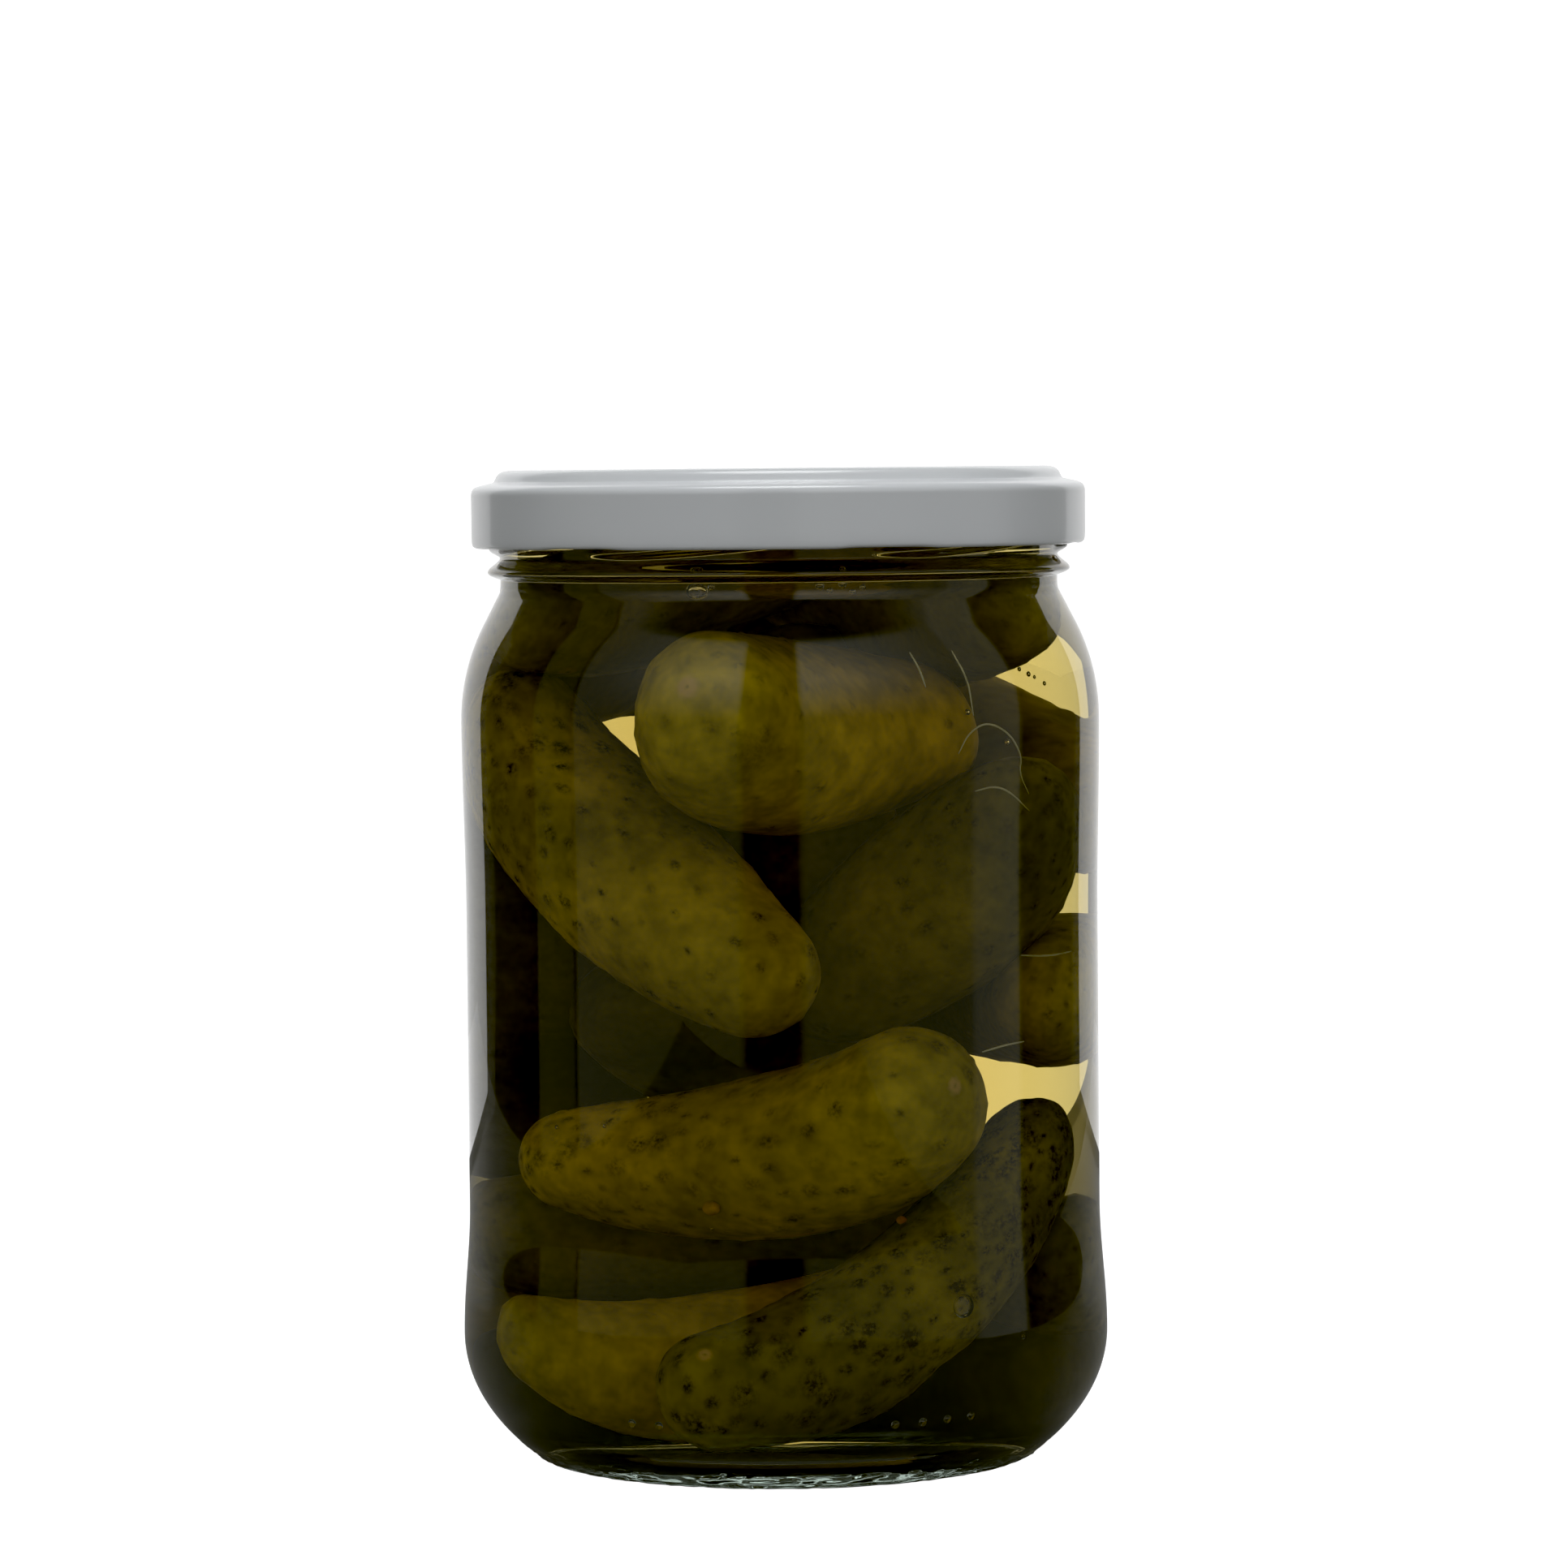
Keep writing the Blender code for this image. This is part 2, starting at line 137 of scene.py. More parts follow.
# The heap's own core: plain ones in the dark middle, which the others lie on
CORE = {
    "core_high": Gherkin((0, 6, 54), (2, 8, 100), (0, 0, 0), 11.0, 0.0),
    "core_left": Gherkin((-31, 0, 11.5), (-4, 3, 12.5), (0, 0, 0), 7.5, 0.0),
    "core_right": Gherkin((31, 2, 11.5), (2, 2, 12.5), (0, 0, 0), 7.5, 0.0),
    "core_top": Gherkin((-13, 8, 120), (15, 6, 120.5), (0, 0, 0), 6.5, 0.0),
}

# How a gherkin looks. spacing: how far apart the warts are in mm, then how dark and how wide they are;
# then how yellow and light the skin is, which is partly its ripeness and partly painted light and shade, set
# per gherkin for how much light reaches it; fine: whether the mesh is a fine one
Skin = namedtuple("Skin", "spacing dark width ripe fine")
PLAIN_SKIN = Skin(spacing=5.5, dark=0.6, width=0.8, ripe=0.35, fine=False)
SKINS = {
    "top_front": Skin(6.5, 0.6, 0.8, 1.0, True),
    "upper_left": Skin(4.0, 1.0, 1.0, 0.76, True),
    "upper_right": Skin(4.6, 0.9, 0.95, 0.42, True),
    "middle_front": Skin(3.9, 0.8, 1.0, 0.86, True),
    "lower_front": Skin(2.9, 1.2, 1.2, 0.46, True),
    "lower_left": Skin(6.0, 0.4, 0.9, 1.0, True),
    # These tones are partly painted light and shade: darkest for the two core ones on the floor, lighter near
    # the top.
    "left_side": PLAIN_SKIN._replace(ripe=0.12),
    "centre": PLAIN_SKIN._replace(ripe=0.15),
    "low_middle": PLAIN_SKIN._replace(ripe=0.32),
    "top_left": PLAIN_SKIN._replace(ripe=0.6),
    "top_right": PLAIN_SKIN._replace(ripe=0.6),
    "top_back": PLAIN_SKIN._replace(ripe=0.75),
    "back_right": PLAIN_SKIN._replace(ripe=0.75),
    "right_side": PLAIN_SKIN._replace(ripe=0.75),
    "core_top": PLAIN_SKIN._replace(dark=0.3, ripe=1.0),
    "core_left": PLAIN_SKIN._replace(spacing=9.0, dark=0.3, ripe=0.0),
    "core_right": PLAIN_SKIN._replace(spacing=9.0, dark=0.3, ripe=0.0),
}
# rings along a gherkin, points round it and rings in each rounded end
FINE_MESH = (150, 150, 24)
PLAIN_MESH = (70, 84, 12)
FIRST_SEED, SEED_STEP = 11, 7

# The skin's unevenness and warts in mm
SKIN_SINK, LUMP_HEIGHT, LUMP_SIZE, GRAIN_HEIGHT, GRAIN_SIZE = 0.12, 0.2, 8.0, 0.05, 2.2
WART_RISES, WART_WIDTHS, WART_DARKNESS = (0.1, 0.26), (0.6, 1.6), (0.3, 1.2)
WART_GAPS, WART_THINNING = (0.7, 1.15), 0.3
SKIN_AREA, TRIES_PER_WART = 3500, 40
PATCH_SIZE, PATCH_STRENGTH = 11, 0.25
WALL_CLEARANCE, FLOOR_CLEARANCE = 0.2, 0.15

# Where a scar of the flower shows, and a brown patch, each with its radius
SCARS = {
    "top_front": ((-12.0, -37.6, 107.6), 1.7),
    "middle_front": ((22.2, -33.2, 54.3), 1.3),
    "lower_front": ((-10.2, -36.5, 18.8), 1.1),
    "top_left": ((-23.1, -2.9, 106.3), 1.4),
}
BROWN_PATCH_ON, BROWN_PATCH, BROWN_PATCH_RADIUS = "top_front", (-2.7, -37.1, 98.9), 3.2

# Small things by their x and height on the wall, in mm
BUBBLES = [
    # x, height, radius, how flat
    (-10.5, 120.1, 1.5, 0.7), (-8.7, 120.9, 0.5, 1), (5.3, 120.9, 0.6, 0.8), (6.6, 120.2, 0.45, 1),
    (8.2, 121.1, 0.6, 0.8), (9.5, 119.9, 0.5, 1), (10.8, 120.6, 0.45, 1), (23.1, 24.5, 1.6, 0.4),
    (29.5, 99.7, 0.45, 1), (-29.6, 48.5, 0.3, 1), (-23.3, 49.2, 0.3, 1), (-9.5, 36.0, 0.25, 1),
    (31.0, 19.5, 0.4, 1), (31.1, 109.0, 0.3, 1), (32.3, 108.3, 0.35, 1), (33.1, 107.9, 0.25, 1),
    (34.4, 107.0, 0.3, 1), (24.3, 103.9, 0.4, 1),
]
FIBRES = [
    [(23.0, 98.5), (24.3, 101.2), (26.8, 102.6), (29.7, 101.0), (31.2, 97.8), (30.8, 95.5), (32.2, 92.6)],
    [(25.1, 93.4), (27.8, 94.0), (30.0, 92.9), (32.1, 90.3)],
    [(22.2, 111.6), (24.4, 108.0), (25.0, 103.4)],
    [(16.8, 111.6), (18.0, 109.7), (18.8, 107.2)],
    [(25.8, 58.4), (28.6, 59.0), (31.2, 59.2)],
    [(31.0, 70.9), (34.7, 70.3), (37.5, 70.5)],
]
FIBRE_RADIUS, FIBRE_SIDES, FIBRE_DEPTH, FIBRE_SWAY = 0.15, 6, 0.8, 0.3
MOULD_DOTS = [(-20.6, 9.7), (-17.0, 9.6), (14.4, 9.6), (18.1, 9.7), (21.4, 9.8), (24.6, 9.9)]
DOT_RADIUS, DOT_FLATNESS, DOT_DEPTH = 0.6, 0.25, 0.12
BUBBLE_CLEARANCE = 0.05
# A mustard seed and a speck, each by its place, radius and colour
SEEDS = {
    "mustard_seed": ((-8.8, -24.2, 37.3), 1.0, (0.85, 0.5, 0.06)),
    "orange_speck": ((14.1, -24.4, 35.4), 0.6, (0.7, 0.25, 0.02)),
}

# Colours, and how clear things bend light and take up colour
CLEAR = (1, 1, 1, 1)
GLASS_IOR, GLASS_TINT, GLASS_DENSITY = 1.52, (0.82, 0.945, 0.89), 24.0
BRINE_IOR, BRINE_TINT, BRINE_DENSITY = 1.335, (0.87, 0.745, 0.19), 33.0
AIR_IN_BRINE_IOR = 0.749
# The gherkins' skin runs between the three tones on the next line; how far along each gherkin lies is partly
# painted light and shade.
UNRIPE, HALF_RIPE, RIPE = (0.05, 0.04, 0.004), (0.35, 0.275, 0.018), (0.90, 0.66, 0.03)
WART_COLOR, SCAR_COLOR = (0.045, 0.024, 0.004), (0.95, 0.62, 0.2)
FIBRE_DARK, FIBRE_PALE = (0.8, 0.7, 0.25), (1.0, 0.92, 0.5)
LID_DARK, LID_PALE = (0.91, 0.945, 0.98), (0.93, 0.965, 0.99)
TABLE_COLOR = (0.15, 0.15, 0.15)

# The studio's lights, by their place in degrees and their radiance
FRONT_LIGHT = [
    # degrees from the front (0) towards +X, radiance of the soft light there
    (-180, 0.03), (-99.5, 0.03), (-98.5, 0.2), (-81.5, 0.2),
    (-80.8, 0.08), (-79.6, 0.08), (-79, 0.31), (-14.5, 0.31),
    (-13.5, 0.03), (6.5, 0.03), (7.5, 0.31), (72.5, 0.31),
    (73.5, 0.45), (95, 0.45), (96, 0.03), (180, 0.03),
]
# Straight in front the light grows from this height on, over so many degrees, by up to so many times itself
FRONT_GAIN_FROM, FRONT_GAIN_RISE, FRONT_GAIN = 5.0, 20.0, 3.4
CEILING_FROM, CEILING = 44.0, 0.1
OVERHEAD_FROM, OVERHEAD = 72.0, 5.3
LIGHT_EDGE = 4
# The backdrop's brightness where the camera sees it
BACKDROP_SEEN = 1.15
# The card behind the jar, in metres
CARD_Y, CARD_HALF_WIDTH, CARD_LOW, CARD_TOP, CARD_LIGHT = 0.32, 0.355, 0.004, 0.40, 0.92
# The table's edges and height, in mm, then its own light and how much of it only the camera sees
TABLE_LEFT, TABLE_RIGHT, TABLE_FRONT, TABLE_BACK, TABLE_Z = -420, 290, -600, 600, -0.02
TABLE_LIGHT, TABLE_SEEN = 0.02, 1.0
BLACK_LEVEL = (0.005, 0.005, 0.013)

# The camera, in metres and degrees, with the picture's own width and focal length
PICTURE_WIDTH_PX, FOCAL_LENGTH_PX = 1932.0, 7345.0
CAMERA_PLACE, CAMERA_TILT, CAMERA_ROLL = (0.00045, -0.827, 0.1364), 3.016, 0.55
SENSOR_WIDTH = 36


# The jar's form


def ease(share):
    """A smooth step from 0 to 1."""
    share = np.clip(share, 0.0, 1.0)
    return (1 - np.cos(np.pi * share)) / 2


def wall_radius(side, z):
    """The radius of one side of the jar's wall at each height."""
    z = np.asarray(z, float)
    share = np.clip((side.heel_z - z) / side.heel_reach, 0, 1)
    heel = side.heel - side.heel_depth * (1 - (1 - share**side.heel_power) ** (1 / side.heel_power))
    low = side.heel + (side.waist - side.heel) * ease((z - side.heel_z) / (side.waist_low - side.heel_z))
    rise = ease((z - side.waist_high) / (side.shoulder_z - side.waist_high))
    body = side.waist + (side.shoulder - side.waist) * rise
    reach = np.clip(z, side.shoulder_z, side.cone_z) - side.shoulder_z
    arc = side.shoulder - (side.shoulder_arc - np.sqrt(side.shoulder_arc**2 - reach**2))
    cone = arc + (side.neck - arc) * np.clip((z - side.cone_z) / (side.neck_z - side.cone_z), 0, 1)
    below = [z < side.heel_z, z < side.waist_low, z < side.shoulder_z, z < side.cone_z]
    return np.select(below, [heel, low, body, arc], cone)


def floor_height(radius):
    """The height of the jar's floor, which is a low dome."""
    return FLOOR_MIDDLE_Z - (FLOOR_MIDDLE_Z - FLOOR_EDGE_Z) * (radius / FLOOR_RADIUS) ** 2


def bead_height(z):
    """How far the transfer bead stands out of the neck's wall."""
    below = BEAD_RISE * np.maximum(1 - ((BEAD_Z - z) / BEAD_BELOW) ** 2, 0)
    above = BEAD_RISE * (1 - ease((z - BEAD_Z) / BEAD_ABOVE))
    return np.where(z < BEAD_Z, below, above)


def thread_height(angle, z):
    """How far the threads stand out of the neck's wall."""
    height = np.zeros(np.broadcast(angle, z).shape)
    first = (angle - THREAD_START) % THREAD_STEP
    for along in (first, first + THREAD_STEP):
        strength = ease(along / THREAD_POINT) * ease((THREAD_SPAN - along) / THREAD_TAIL)
        middle = THREAD_Z + THREAD_SLOPE * along + THREAD_CURVE * along**2
        width = THREAD_HALF_WIDTH * (0.5 + 0.5 * strength)
        share = np.minimum(np.abs(z - middle) / width, 1)
        height = np.maximum(height, THREAD_RISE * strength * (1 - share**2) ** 2)
    return height


# Meshes


def smooth_noise(points, size, seed, shift=0):
    """Smooth random values from -1 to 1 at each point, with lumps of about the given size."""
    grid = np.random.default_rng(seed).uniform(-1, 1, (16, 16, 16))
    place = (points + shift) / size
    low = np.floor(place).astype(int)
    part = place - low
    part = part * part * (3 - 2 * part)
    total = np.zeros(len(points))
    for corner in range(8):
        step = np.array([corner & 1, corner >> 1 & 1, corner >> 2 & 1])
        cell = (low + step) % 16
        weight = np.prod(np.where(step, part, 1 - part), axis=1)
        total += weight * grid[cell[:, 0], cell[:, 1], cell[:, 2]]
    return total


def mesh_object(name, points, faces, material, sharp=180):
    """A new smooth object from points in millimetres, with edges sharper than an angle left sharp."""
    mesh = bpy.data.meshes.new(name)
    mesh.from_pydata((np.asarray(points) * MM).tolist(), [], faces)
    mesh.shade_smooth()
    if sharp < 180:
        mesh.set_sharp_from_angle(angle=math.radians(sharp))
    mesh.materials.append(material)
    thing = bpy.data.objects.new(name, mesh)
    bpy.context.scene.collection.objects.link(thing)
    return thing


def attribute_on(thing, label, values):
    """Keeps a number on each point of a mesh, for its material."""
    layer = thing.data.attributes.new(label, "FLOAT", "POINT")
    layer.data.foreach_set("value", np.asarray(values, np.float32))


def grid_faces(rows, columns):
    """Faces of a closed skin of rings between two end points, the first point and the last."""
    faces = []
    last = 1 + rows * columns
    for column in range(columns):
        beside = (column + 1) % columns
        faces.append((0, 1 + beside, 1 + column))
        faces.append((last, 1 + (rows - 1) * columns + column, 1 + (rows - 1) * columns + beside))
    ring = np.arange(rows - 1)[:, None] * columns + 1
    low = ring + np.arange(columns)[None, :]
    side = ring + (np.arange(columns)[None, :] + 1) % columns
    quads = np.stack([low, side, side + columns, low + columns], -1).reshape(-1, 4)
    return faces + quads.tolist()


def turned_rows(rows, columns):
    """Radius and height of a profile's rows in each column, and the columns' angles."""
    rows = np.array(rows)
    radius = np.repeat(rows[:, :1], columns, 1)
    height = np.repeat(rows[:, 1:2], columns, 1)
    return radius, height, np.arange(columns) * 360 / columns


def turned_points(radius, z, angle):
    """Points of rings, from arrays of rows by columns of radius and height, and the columns' angles."""
    turn = np.radians(angle)[None, :]
    return np.stack([radius * np.sin(turn), -radius * np.cos(turn), z + 0 * turn], -1).reshape(-1, 3)


def turned_object(name, radius, z, angle, first_z, last_z, material, sharp=180):
    """A closed turned skin with points on the axis at both ends."""
    points = np.concatenate([[[0, 0, first_z]], turned_points(radius, z, angle), [[0, 0, last_z]]])
    return mesh_object(name, points, grid_faces(radius.shape[0], radius.shape[1]), material, sharp)


def heights(*stretches):
    """Heights of rows along stretches of the wall, each given as from, to and how many."""
    return np.concatenate([np.linspace(*stretch) for stretch in stretches])


def inner_heel_heights():
    """Heights of rows up the inner wall's rounded heel, closer together near the floor."""
    return INSIDE.heel_z - INNER_HEEL_DROP * np.sin(np.linspace(1.5, 0.06, 24))


def bottom_rows():
    """Radius and height of rows along the bottom, from the pushed-up middle to the foot."""
    return [(r, PUSH_UP * (1 - (r / PUSH_UP_RADIUS) ** 2)) for r in np.linspace(2, 28, 14)] + FOOT_RING


def outer_wall_rows():
    """Radius and height of rows up the outer wall, closer together at the bead and the threads."""
    heel = OUTSIDE.heel_z * (1 - np.cos(np.linspace(0.25, np.pi / 2, 34)))
    body = heights((18, 35, 14), (38, 75, 12), (78, 102, 12), (103, 121.4, 24))
    neck = heights((121.6, 124.9, 20), (125.05, 132, 44), (132.8, 133.6, 2))
    z = np.concatenate([heel, body, neck])
    return list(zip(wall_radius(OUTSIDE, z) + bead_height(z), z))


def rim_rows():
    """Radius and height of rows over the rounded rim, from the outside to the inside."""
    arc = np.radians(np.linspace(0, 90, 9))
    z = JAR_HEIGHT - RIM_ROUNDING * (1 - np.sin(arc))
    outer = list(zip(OUTSIDE.neck - RIM_ROUNDING * (1 - np.cos(arc)), z))
    inner = list(zip(INSIDE.neck + RIM_ROUNDING * (1 - np.cos(arc)), z))
    return outer + inner[::-1]


def inner_wall_rows():
    """Radius and height of rows down the inner wall."""
    body = heights((133, 121, 10), (120.5, 103, 26), (100, 80, 10), (76, 30, 14), (28, INSIDE.heel_z, 8))
    z = np.concatenate([body, inner_heel_heights()[::-1]])
    return list(zip(wall_radius(INSIDE, z), z))


def make_glass(material):
    """The jar itself, with its bead, its threads, a slightly wavy inner wall and a stippled foot."""
    floor = [(r, floor_height(r)) for r in np.linspace(29, 2, 14)]
    stretches = [bottom_rows(), outer_wall_rows(), rim_rows(), inner_wall_rows(), floor]
    stretch = np.repeat(np.arange(5), [len(rows) for rows in stretches])
    radius, height, angle = turned_rows(sum(stretches, []), 320)
    row_radius = radius[:, 0].copy()
    row_height = height[:, 0].copy()

    threaded = (stretch == 1) & (row_height > THREADS_FROM_Z)
    radius[threaded] += thread_height(angle[None, :], height[threaded])
    wavy = (stretch == 3) & (row_height < WAVE_TOP_Z)
    points = turned_points(radius[wavy], height[wavy], angle) * [1, 1, 0.5]
    radius[wavy] += WAVE_DEPTH * smooth_noise(points, WAVE_SIZE, 5, shift=200).reshape(-1, len(angle))
    foot = (stretch < 3) & (row_radius > STIPPLE_FROM_RADIUS) & (row_height < STIPPLE_TOP_Z)
    points = turned_points(radius[foot], height[foot], angle)
    across = smooth_noise(points * [1, 1, 3], STIPPLE_WIDTH, 8, shift=100).reshape(-1, len(angle))
    up = smooth_noise(points, STIPPLE_SPACING, 9, shift=100).reshape(-1, len(angle))
    radius[foot] += STIPPLE_DEPTH * across
    height[foot] += STIPPLE_HEIGHT * np.abs(up)

    jar = turned_object("glass_jar", radius, height, angle, PUSH_UP, FLOOR_MIDDLE_Z, material)
    wet = (stretch >= 3) & (row_height < BRINE_TOP)
    attribute_on(jar, "wet", np.concatenate([[0], np.repeat(wet, len(angle)), [1]]))
    return jar


def make_brine(material):
    """The liquid, which reaches a little into the glass all round."""
    floor = [(r, floor_height(r) - BRINE_INTO_GLASS) for r in np.linspace(2, 29, 10)]
    body = heights((20, 30, 8), (34, 76, 12), (80, 100, 10), (103, 120.5, 26))
    z = np.concatenate([inner_heel_heights(), body, [121.5, 124, 126, 127.4, BRINE_TOP]])
    wall = list(zip(wall_radius(INSIDE, z) + BRINE_INTO_GLASS, z))
    surface = [(r, BRINE_TOP - sag) for r, sag in BRINE_SURFACE]
    radius, height, angle = turned_rows(floor + wall + surface, 192)
    low = FLOOR_MIDDLE_Z - BRINE_INTO_GLASS
    return turned_object("brine", radius, height, angle, low, BRINE_TOP - BRINE_SAG, material)


def rounded_line(points, rounds):
    """A line of rows of three numbers with its corners cut again and again."""
    line = np.array(points, float)
    for _ in range(rounds):
        near = 0.75 * line[:-1] + 0.25 * line[1:]
        far = 0.25 * line[:-1] + 0.75 * line[1:]
        line = np.concatenate([line[:1], np.stack([near, far], 1).reshape(-1, 3), line[-1:]])
    return line


def make_lid(material):
    """The steel lid with its pressed rings, its curled edge and its lugs."""
    rows = [(r, z, 0) for r, z in LID_TOP + LID_RING + LID_SKIRT]
    rows += LID_CURL
    rows += [(r, z, 0) for r, z in LID_INSIDE]
    rows = rounded_line(rows, 2)[::-1]
    radius, height, angle = turned_rows(rows, 360)
    away = np.abs((angle - LUG_ANGLE + THREAD_STEP / 2) % THREAD_STEP - THREAD_STEP / 2)
    share = rows[:, 2:] * ease(1.8 * (1 - away / LUG_HALF_SPAN))[None, :]
    radius = radius - LUG_REACH * share
    height = height + LUG_LIFT * share
    return turned_object("steel_lid", radius, height, angle, LID_UNDER_Z, LID_TOP_Z, material, sharp=60)


# Gherkins

# A ball on a gherkin's middle line, whose skin makes one ring. share runs from -1 to 1 along the line, and
# backwards is how far behind the ball's middle its ring lies, as a share of the ball's size.
Ball = namedtuple("Ball", "share centre along size backwards")


def gherkin_balls(gherkin, rings, cap_rings):
    """The balls of a gherkin's rings, from its first end to its last."""
    start, finish, bow = (np.array(v, float) for v in gherkin[:3])
    share = np.linspace(-1, 1, rings)
    centre = (start + finish) / 2 + np.outer(share, finish - start) / 2 + np.outer(1 - share**2, bow)
    slope = (finish - start) / 2 - 2 * np.outer(share, bow)
    length = np.linalg.norm(slope, axis=1)
    along = slope / length[:, None]
    size = gherkin.girth * (1 + gherkin.thickening * share - GHERKIN_NARROWING * share**2)
    growth = gherkin.girth * (gherkin.thickening - 2 * GHERKIN_NARROWING * share) / length
    balls = [Ball(*row) for row in zip(share, centre, along, size, growth)]
    first, last = balls[0], balls[-1]
    steps = np.linspace(math.asin(first.backwards), math.pi / 2, cap_rings + 2)[1:-1]
    front = [first._replace(backwards=math.sin(step)) for step in steps]
    steps = np.linspace(math.asin(-last.backwards), math.pi / 2, cap_rings + 2)[1:-1]
    back = [last._replace(backwards=-math.sin(step)) for step in steps]
    return front[::-1] + balls + back


def gherkin_skin(balls, sides):
    """The points of a gherkin, their outward directions and their share of its length."""
    first, last = balls[0], balls[-1]
    points = [[first.centre - first.along * first.size]]
    normals = [[-first.along]]
    shares = [[-1.4]]
    turn = 2 * np.pi * np.arange(sides) / sides
    side = np.cross(first.along, (0, 0, 1))
    for ball in balls:
        side = side - ball.along * np.dot(side, ball.along)
        side = side / np.linalg.norm(side)
        spread = np.outer(np.cos(turn), side) + np.outer(np.sin(turn), np.cross(ball.along, side))
        out = math.sqrt(1 - ball.backwards**2)
        lobed = out * (1 - GHERKIN_LOBE * (1 - np.cos(3 * turn)))
        middle = ball.centre - ball.along * ball.size * ball.backwards
        points.append(middle + ball.size * lobed[:, None] * spread)
        normals.append(out * spread - ball.backwards * ball.along)
        shares.append(np.full(sides, ball.share - ball.backwards * 0.4))
    points.append([last.centre + last.along * last.size])
    normals.append([last.along])
    shares.append([1.4])
    return np.concatenate(points), np.concatenate(normals), np.concatenate(shares)


def scattered(points, shares, spacing, rng):
    """Numbers of points at least about a spacing apart, picked at random and thinner towards the last end."""
    order = rng.permutation(len(points))
    taken = np.zeros((0, 3))
    picked = []
    for index in order[: TRIES_PER_WART * int(SKIN_AREA / spacing**2)]:
        gap = spacing * rng.uniform(*WART_GAPS) * (1 + WART_THINNING * shares[index])
        if len(taken) == 0 or ((taken - points[index]) ** 2).sum(1).min() > gap**2:
            taken = np.concatenate([taken, points[index][None]])
            picked.append(index)
    return picked


def warts_on(points, normals, shares, lengthwise, skin, rng):
    """How high the warts rise at each point, and how dark they are there."""
    height = np.zeros(len(points))
    dark = np.zeros(len(points))
    for index in scattered(points, shares, skin.spacing, rng):
        offset = points - points[index]
        narrow = np.cross(normals[index], lengthwise) + rng.normal(0, 0.3, 3)
        near = (offset**2).sum(1) + rng.uniform(0, 2) * (offset @ narrow) ** 2
        width = skin.width * rng.uniform(*WART_WIDTHS)
        height += rng.uniform(*WART_RISES) * np.exp(-near / (1.1 * width) ** 2)
        darkest = skin.dark * rng.uniform(*WART_DARKNESS)
        dark = np.maximum(dark, darkest * np.exp(-((near / width**2) ** 1.5)))
    return height, dark


def kept_inside(points):
    """Points pressed flat where they would reach the jar's wall or floor."""
    radius = np.hypot(points[:, 0], points[:, 1])
    most = wall_radius(INSIDE, points[:, 2]) - WALL_CLEARANCE
    squeeze = np.minimum(1, most / np.maximum(radius, 0.001))
    z = np.maximum(points[:, 2], floor_height(radius) + FLOOR_CLEARANCE)
    return np.stack([points[:, 0] * squeeze, points[:, 1] * squeeze, z], -1)


def scarred(points, place, size, dark):
    """How much of a pale scar each point has, and the warts with only the scar's dark middle left there."""
    middle = points[((points - place) ** 2).sum(1).argmin()]
    away = np.linalg.norm(points - middle, axis=1) / size
    scar = 0.75 * np.clip(3 - 3 * away, 0, 1) * np.clip(0.35 + 2.5 * away, 0, 1)
    dark = dark * np.clip(away - 1, 0, 1)
    return scar, np.maximum(dark, 0.7 * (away < 0.16))


def make_gherkin(name, gherkin, skin, material, seed):
    """One gherkin with its warts, lumps and scars."""
    rings, sides, cap_rings = FINE_MESH if skin.fine else PLAIN_MESH
    balls = gherkin_balls(gherkin, rings, cap_rings)
    points, normals, shares = gherkin_skin(balls, sides)
    lengthwise = np.subtract(gherkin.finish, gherkin.start)
    lengthwise = lengthwise / np.linalg.norm(lengthwise)
    height, dark = warts_on(points, normals, shares, lengthwise, skin, np.random.default_rng(seed))
    height += LUMP_HEIGHT * smooth_noise(points, LUMP_SIZE, seed, shift=100) - SKIN_SINK
    height += GRAIN_HEIGHT * smooth_noise(points, GRAIN_SIZE, seed + 1, shift=100)
    points = kept_inside(points + normals * height[:, None])
    thing = mesh_object("gherkin_" + name, points, grid_faces(len(balls), sides), material)
    scar = np.zeros(len(points))
    if name in SCARS:
        scar, dark = scarred(points, *SCARS[name], dark)
    if name == BROWN_PATCH_ON:
        away = np.linalg.norm(points - BROWN_PATCH, axis=1) / BROWN_PATCH_RADIUS
        dark = np.maximum(dark, 0.35 * np.exp(-(away**2)))
    attribute_on(thing, "wart", dark)
    attribute_on(thing, "scar", scar)
    # The skin's tone with random patches; the tone set per gherkin is partly painted light and shade.
    attribute_on(thing, "ripe", skin.ripe + PATCH_STRENGTH * smooth_noise(points, PATCH_SIZE, seed + 2))
    return thing


# Small things


def ball_points(rows, columns):
    """The points of a ball of radius 1, from its lowest to its highest, and its faces."""
    tilt = np.linspace(-np.pi / 2, np.pi / 2, rows + 2)[1:-1]
    turn = 2 * np.pi * np.arange(columns) / columns
    x = np.outer(np.cos(tilt), np.cos(turn))
    y = np.outer(np.cos(tilt), np.sin(turn))
    z = np.repeat(np.sin(tilt)[:, None], columns, 1)
    rings = np.stack([x, y, z], -1).reshape(-1, 3)
    return np.concatenate([[[0, 0, -1]], rings, [[0, 0, 1]]]), grid_faces(rows, columns)


def joined(name, parts, material):
    """One object from several lots of points and faces."""
    points, faces, count = [], [], 0
    for some_points, some_faces in parts:
        points.append(some_points)
        faces += [tuple(corner + count for corner in face) for face in some_faces]
        count += len(some_points)
    return mesh_object(name, np.concatenate(points), faces, material)


def on_front(side, x, z, depth):
    """The point at the front of one side of the wall, so far inside it."""
    radius = float(wall_radius(side, z)) - depth
    return np.array((x, -math.sqrt(radius**2 - x**2), z))


def flattened(centre, radius, flat):
    """A ball squashed towards the jar's axis to the share given."""
    ball, faces = ball_points(14, 24)
    outward = np.array((centre[0], centre[1], 0)) / math.hypot(centre[0], centre[1])
    ball = ball - (1 - flat) * np.outer(ball @ outward, outward)
    return centre + radius * ball, faces


